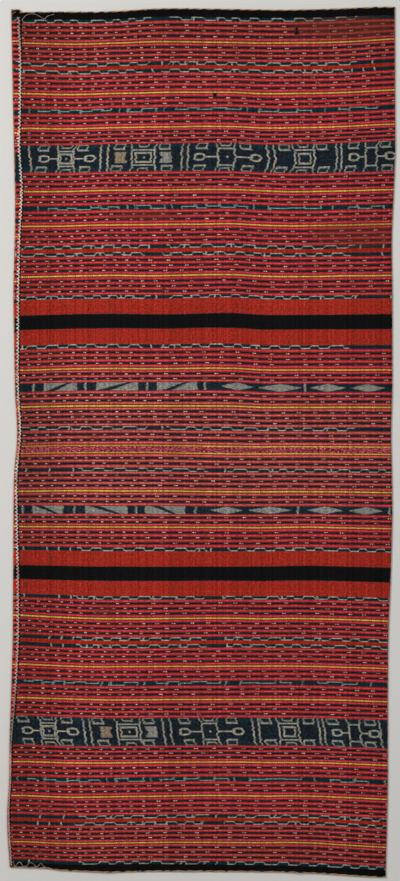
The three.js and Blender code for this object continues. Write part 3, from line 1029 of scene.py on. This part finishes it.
def stained_and_shaded(at, base):
    """The cloth's colour with its stains, painted shade along its creases, a painted highlight with some wear
    on its folds, and a painted shadow in the groove along the lap.
    """
    px, py, on = at.px, at.py, at.on
    ragged = noise(px / 9.0, py / 5.0, detail=3.0) - 0.5
    brown_share = 0.0
    for stain in STAINS:
        if (stain["y"] > JOIN_LEVEL) != (at.part == "upper"):
            continue
        dx, dy = (px - stain["x"]) / stain["wide"], (py - stain["y"]) / stain["high"]
        away = (dx * dx + dy * dy).math("SQRT") + ragged
        brown_share = (1.0 - away.rise(0.55, 1.15)) * stain["strength"] + brown_share
    # Painted shade: a brown line along each crease, in patches, where the crease falls in shade.
    for crease in CREASES:
        off = px - crease["x"] - py * crease["lean"] + ragged * 6.0
        patch = noise(py / 60.0, crease["x"]).rise(0.42, 0.66)
        brown_share = brown_share + off.line(2.6, 1.8) * patch * 0.35
    brown_share = brown_share * at.front * (1.0 - on["black"] - on["rim"] - on["main"] * 0.8)
    base = blend(brown_share, base, "brown")
    base = blend(brown_share.rise(0.85, 1.0), base, "black")
    # Painted highlight with some wear: a tan line in patches along both folds, where the fold edges catch the
    # light.
    fold_highlight_and_wear = noise(at.out / 7.0, at.warp / 6.0).rise(0.32, 0.6)
    base = blend(at.fold * fold_highlight_and_wear * 0.75, base, "tan")
    # Painted shadow: black on the front just beside the lap's sewn edge, where the raised lap casts its
    # shadow; wider towards the upper end and narrower at the lower end.
    shadow_widening = py.rise(595.0, 680.0) * 1.5 + py.rise(-480.0, -200.0) * 0.4
    painted_lap_shadow = (1.0 - (at.off_seam - shadow_widening).rise(1.9, 3.2)) * at.front
    return blend(painted_lap_shadow * 0.95, base, "black")


def cloth_fields(tree, part):
    """The numbers that the cloth's finish is worked out from, at each place on it."""
    at = SimpleNamespace(part=part, own=OWN_SEED[part])
    at.warp, at.out, at.fold = split(attribute(tree, "cloth"))
    at.off_seam, at.front, _ = split(attribute(tree, "side"))
    kind, at.middle, half = split(attribute(tree, "band"))
    at.dye = attribute(tree, "dye", "Color")
    at.px, at.py, _ = object_place(tree)
    at.on = {name: kind.math("COMPARE", float(number), 0.5) for name, number in KINDS.items()}
    at.w = at.out - at.middle
    at.edge = abs(at.w) / half
    at.row_seed = random(at.middle, at.own)
    at.group = (at.out / YARN_GROUP).floor()
    at.yarn = (at.out / YARN).floor()
    at.float_phase = (at.warp * (math.pi / WEFT) + at.group * math.pi).sine()
    at.near_join = 1.0 - (at.out + at.warp * 0.12).rise(50.0, 175.0)
    at.left_side = (1.0 - at.px.rise(-300.0, -175.0)) * at.front
    return at


def cloth_material(part):
    """The finish of one loom width."""
    material, tree, shader = start_material(part + "_cloth")
    at = cloth_fields(tree, part)
    marks, blocks, left_blocks = ikat_marks(at)
    base = blend(undyed_share(at, marks), ground_dyes(at), undyed_colour(at, blocks, left_blocks))
    tone = uneven_tone(at)
    base = blend(1.0, base, vector(tone, tone, tone), "MULTIPLY")
    plug(shader.inputs["Base Color"], stained_and_shaded(at, base))

    # Warp ribs with the wefts' crossings
    rib = abs((at.out * (math.pi / YARN)).sine())
    crossing = (at.warp * (2 * math.pi / CROSSING) + at.yarn * math.pi).sine() * 0.3 + 0.7
    fuzz = noise(at.warp / 1.1, at.out / 0.5)
    add_bump(shader, rib * crossing + fuzz * 0.5, 0.55, 0.00022)
    shader.inputs["Roughness"].default_value = 0.9
    shader.inputs["Specular IOR Level"].default_value = 0.05
    return material


def thread_material(name, first, second, patch, spans=(), soiled=()):
    """Soft two-ply thread that changes colour along its way, all of it over some spans of heights."""
    material, tree, shader = start_material(name)
    x, y, z = object_place(tree)

    def within(low, high):
        reach = (high - low) / 2
        return 1.0 - abs(y - (low + high) / 2).rise(reach - 10, reach + 10)

    share = noise(x / patch, y / patch).rise(0.5, 0.64)
    for span in spans:
        share = share.larger(within(*span))
    brown_share = noise(x / 2.2, y / 2.2, z / 2.2).rise(0.4, 0.75) * 0.25
    for span in soiled:
        brown_share = brown_share + within(*span) * 0.45
    plug(shader.inputs["Base Color"], blend(brown_share, blend(share, first, second), "brown"))
    add_bump(shader, noise(x / 0.38, y / 0.38, z / 0.38), 0.6, 0.0001)
    shader.inputs["Roughness"].default_value = 0.85
    shader.inputs["Specular IOR Level"].default_value = 0.25
    shader.inputs["Sheen Weight"].default_value = 0.15
    return material


class Threads:
    """Gathers lengths of thread into one mesh."""

    def __init__(self):
        self.points = []
        self.faces = []
        self.count = 0

    def frame(self, path, up):
        """Two directions square to a path, at each of its points."""
        ahead = np.gradient(path, axis=0)
        ahead /= np.linalg.norm(ahead, axis=1)[:, None]
        across = np.cross(ahead, up)
        length = np.linalg.norm(across, axis=1)
        across[length < 0.1] = [1.0, 0.0, 0.0]
        across /= np.linalg.norm(across, axis=1)[:, None]
        return across, np.cross(across, ahead)

    def tube(self, path, radii, sides, up=(0.0, 0.0, 1.0)):
        """A closed tube along a path, with a radius at each of its points."""
        path = np.asarray(path, float)
        across, over = self.frame(path, up)
        turn = 2 * np.pi * np.arange(sides) / sides
        ring = (across[:, None, :] * np.cos(turn)[None, :, None]
                + over[:, None, :] * np.sin(turn)[None, :, None])
        radii = np.broadcast_to(radii, len(path))
        points = path[:, None, :] + ring * radii[:, None, None]
        rows = len(path)
        grid = self.count + np.arange(rows * sides).reshape(rows, sides)
        onward = np.roll(grid, -1, axis=1)
        quads = np.stack([grid[:-1], grid[1:], onward[1:], onward[:-1]], -1).reshape(-1, 4)
        self.points.append(points.reshape(-1, 3))
        self.faces.extend(quads.tolist())
        self.faces.append(grid[0].tolist())
        self.faces.append(grid[-1][::-1].tolist())
        self.count += rows * sides

    def plied(self, path, radius, turns, sides=5, up=(0.0, 0.0, 1.0)):
        """Two strands twisted round each other along a path."""
        path = np.asarray(path, float)
        across, over = self.frame(path, up)
        angle = 2 * np.pi * turns * np.linspace(0, 1, len(path))
        for ply in (0, np.pi):
            off = across * np.cos(angle + ply)[:, None] + over * np.sin(angle + ply)[:, None]
            self.tube(path + off * radius * 0.48, radius * 0.58, sides, up)

    def build(self, name, material):
        mesh = bpy.data.meshes.new(name)
        mesh.from_pydata((np.concatenate(self.points) * MM).tolist(), [], self.faces)
        mesh.polygons.foreach_set("use_smooth", np.ones(len(mesh.polygons), bool))
        mesh.materials.append(material)
        piece = add_object(name, mesh)
        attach(piece, "root")
        return piece


def smooth_path(points, steps):
    """A smooth curve through a few points, with even steps between each two."""
    points = np.asarray(points, float)
    ends = np.concatenate([[2 * points[0] - points[1]], points, [2 * points[-1] - points[-2]]])
    made = []
    for i in range(len(points) - 1):
        a, b, c, d = ends[i:i + 4]
        for t in np.arange(steps) / steps:
            made.append(0.5 * ((2 * b) + (c - a) * t + (2 * a - 5 * b + 4 * c - d) * t**2
                               + (3 * b - a - 3 * c + d) * t**3))
    made.append(points[-1])
    return np.array(made)


FRONT_TOP = FRONT_Z + THICK / 2
LAP_TOP = LAP_Z + THICK / 2
WHIP = {"pitch": 5.8, "radius": 0.9, "over": 2.7, "past": 0.9, "full_lap": 6.5}
ROSE_SPANS = ((-420.0, -190.0), (-700.0, -480.0))
SOILED_SPANS = ((642.0, 710.0), (-500.0, -405.0))
WHIP_LOW, WHIP_HIGH = -686.0, 688.0
JOIN_STITCH = {"pitch": 2.6, "radius": 0.36, "reach": 1.7, "slant": 0.9}


def whip_seam():
    """The overcast thread that holds the lap down: over its edge and slanting back, again and again."""
    threads = Threads()
    draw = np.random.default_rng(52)
    count = int((WHIP_HIGH - WHIP_LOW) / WHIP["pitch"])
    pitch = (WHIP_HIGH - WHIP_LOW) / count
    places = WHIP_LOW + (np.arange(count + 1) + draw.uniform(-0.13, 0.13, count + 1)) * pitch
    for y, onward in zip(places, places[1:]):
        x = max(float(seam_at(y)), float(left_at(y)) + LAP_LEAST)
        room = min(1.0, (x - float(left_at(y))) / WHIP["full_lap"])
        over = WHIP["over"] * (0.6 + 0.4 * room) * draw.uniform(0.75, 1.15)
        past = WHIP["past"] * draw.uniform(0.7, 1.4)
        turn = y + (onward - y) * draw.uniform(0.42, 0.6)
        fine = 0.75 + 0.25 * float(smooth_step((WHIP_HIGH - y) / 45) * smooth_step((y + 480) / 120))
        past *= 0.5 + 0.5 * float(smooth_step((y + 480) / 120))
        radius = WHIP["radius"] * fine * draw.uniform(0.85, 1.1)
        over_edge = smooth_path([
            (x + past, y, FRONT_TOP - 0.3),
            (x + past * 0.9, y + 0.3, FRONT_TOP + 1.0),
            (x - 0.2, y * 0.5 + turn * 0.5, LAP_TOP + 0.5),
            (x - over * 0.8, turn - 0.3, LAP_TOP + 0.5),
            (x - over, turn, LAP_TOP - 0.4),
        ], 2)
        threads.plied(over_edge, radius, turns=draw.uniform(0.9, 1.4))
        back = smooth_path([
            (x - over, turn, LAP_TOP - 0.4),
            (x - over * 0.75, turn + 0.4, LAP_TOP + 0.35),
            (x - 0.1, onward * 0.5 + turn * 0.5, LAP_TOP + 0.3),
            (x + past * 0.9, onward - 0.4, FRONT_TOP + 0.8),
            (x + past, onward, FRONT_TOP - 0.3),
        ], 2)
        threads.plied(back, radius * 0.9, turns=draw.uniform(0.9, 1.4))
    cream = thread_material("cream_thread", "thread", "rose thread", 25.0, ROSE_SPANS, SOILED_SPANS)
    return threads.build("lap_stitches", cream)


SELVEDGE_RADIUS = 1.1


def selvedge_yarns(panels):
    """The thick outermost warp pair along the tube's two open ends, all round the tube."""
    threads = Threads()
    for panel in panels:
        x, y, z, out_x, out_z = [part[-1] for part in panel.surface()[:5]]
        proud = THICK / 2 - SELVEDGE_RADIUS * 0.3
        high = np.maximum(z + out_z * proud, SELVEDGE_RADIUS * 0.9)
        path = np.stack([x + out_x * proud, y - panel.way * SELVEDGE_RADIUS * 0.4, high], -1)
        threads.plied(path, SELVEDGE_RADIUS, turns=260, sides=4, up=(0.0, 1.0, 0.0))
    return threads.build("selvedge_yarns", thread_material("selvedge_yarn", "selvedge", "rim", 9.0))


# Loose ends of mending thread that lie on the front at its left corners
LOOSE_THREADS = (
    ((-290.4, 684.0), (-283.9, 691.3), (-272.6, 693.8), (-261.2, 689.7), (-254.3, 685.7),
     (-248.3, 690.5), (-238.5, 693.0)),
    ((-304.9, -677.5), (-301.6, -686.2), (-294.4, -680.0), (-286.3, -687.3), (-275.8, -680.8),
     (-266.1, -687.6), (-259.6, -681.6), (-254.7, -687.0), (-246.0, -689.2)),
    ((-307.2, 691.8), (-304.5, 694.5), (-300.6, 696.6)),
)
LOOSE_RADIUS = 0.42


def front_top(x, y):
    """Height of the upper face of the front layer, or of the lap that lies on it."""
    if x < float(seam_at(y)):
        return LAP_TOP
    return FRONT_TOP + float(lift(np.array(x), np.array(y), float(seam_at(y)), float(right_at(y))))


def loose_threads():
    threads = Threads()
    for route in LOOSE_THREADS:
        points = [(x, y, front_top(x, y) + LOOSE_RADIUS * 1.1) for x, y in route]
        threads.plied(smooth_path(points, 8), LOOSE_RADIUS, turns=len(route) * 3)
    mending = thread_material("mending_thread", "loose thread", "rose thread", 9.0)
    return threads.build("loose_threads", mending)


def join_seam():
    """The small stitches that hold the two loom widths together, on the front and the underside."""
    threads = Threads()
    draw = np.random.default_rng(53)
    low = float(left_at(JOIN_LEVEL)) + 8
    high = float(right_at(JOIN_LEVEL)) - 3
    count = int((high - low) / JOIN_STITCH["pitch"])
    for under in (False, True):
        for i in range(count):
            x = low + (i + 0.5) * JOIN_STITCH["pitch"] + draw.uniform(-0.3, 0.3)
            y = float(join_at(x))
            reach = JOIN_STITCH["reach"] * draw.uniform(0.8, 1.15)
            slant = JOIN_STITCH["slant"] * draw.uniform(0.6, 1.3)
            top, way, dip = (0.34, -1, 0.1) if under else (front_top(x, y) + 0.1, 1, 0.5)
            bend = ((-1 / 2, -1, -dip), (-1 / 3, -0.6, 0.05), (0, 0, 0.12), (1 / 3, 0.6, 0.05),
                    (1 / 2, 1, -dip))
            path = smooth_path([(x + slant * a, y + reach * b, top + way * c) for a, b, c in bend], 2)
            threads.tube(path, JOIN_STITCH["radius"] * (0.8 if under else draw.uniform(0.8, 1.1)), 6)
    return threads.build("join_stitches", thread_material("rose_thread", "mauve thread", "plum", 60.0))


def stage():
    mesh = bpy.data.meshes.new("floor")
    far = 4.0
    low = -0.0003
    corners = [(-far, -far, low), (far, -far, low), (far, far, low), (-far, far, low)]
    mesh.from_pydata(corners, [], [(0, 1, 2, 3)])
    material, _, shader = start_material("floor")
    shader.inputs["Base Color"].default_value = linear("floor")
    shader.inputs["Roughness"].default_value = 0.9
    mesh.materials.append(material)
    add_object("floor", mesh)


def area_light(name, place, size, power):
    light = bpy.data.lights.new(name, "AREA")
    light.shape = "DISK"
    light.size = size
    light.energy = power
    lamp = add_object(name, light)
    lamp.location = place
    lamp.rotation_euler = (-Vector(place)).to_track_quat("-Z", "Y").to_euler()


def lights():
    area_light("key", (-1.8, 1.0, 2.4), 1.0, 52)
    area_light("fill", (1.1, 0.1, 3.0), 2.6, 30)
    world = bpy.data.worlds.new("studio")
    world.use_nodes = True
    world.node_tree.nodes["Background"].inputs["Color"].default_value = (1, 1, 1, 1)
    world.node_tree.nodes["Background"].inputs["Strength"].default_value = 0.185
    bpy.context.scene.world = world
    bpy.context.scene.view_settings.view_transform = "Standard"


# The photo's frame is 1427 mm high at the cloth, and its middle lies a little up and left of it
LENS, SENSOR = 100.0, 36.0
FRAME_HEIGHT = 1427.2
FRAME_MIDDLE = (-2.0, 2.8)


def camera():
    data = bpy.data.cameras.new("camera")
    data.lens = LENS
    data.sensor_width = SENSOR
    seen = add_object("camera", data)
    high = FRAME_HEIGHT * LENS / SENSOR + FRONT_TOP
    seen.location = (FRAME_MIDDLE[0] * MM, FRAME_MIDDLE[1] * MM, high * MM)
    bpy.context.scene.camera = seen


camera()
panels = []
for name, lines, way, number in (("upper", UPPER_LINES, 1, 0), ("lower", LOWER_LINES, -1, 1)):
    panel = Panel(name + "_cloth", lines, way, number)
    panels.append(panel)
    cloth = panel.build()
    cloth.data.materials.append(cloth_material(name))
    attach(cloth, "root")
    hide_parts(name + "_panel")
whip_seam()
join_seam()
selvedge_yarns(panels)
loose_threads()
stage()
lights()
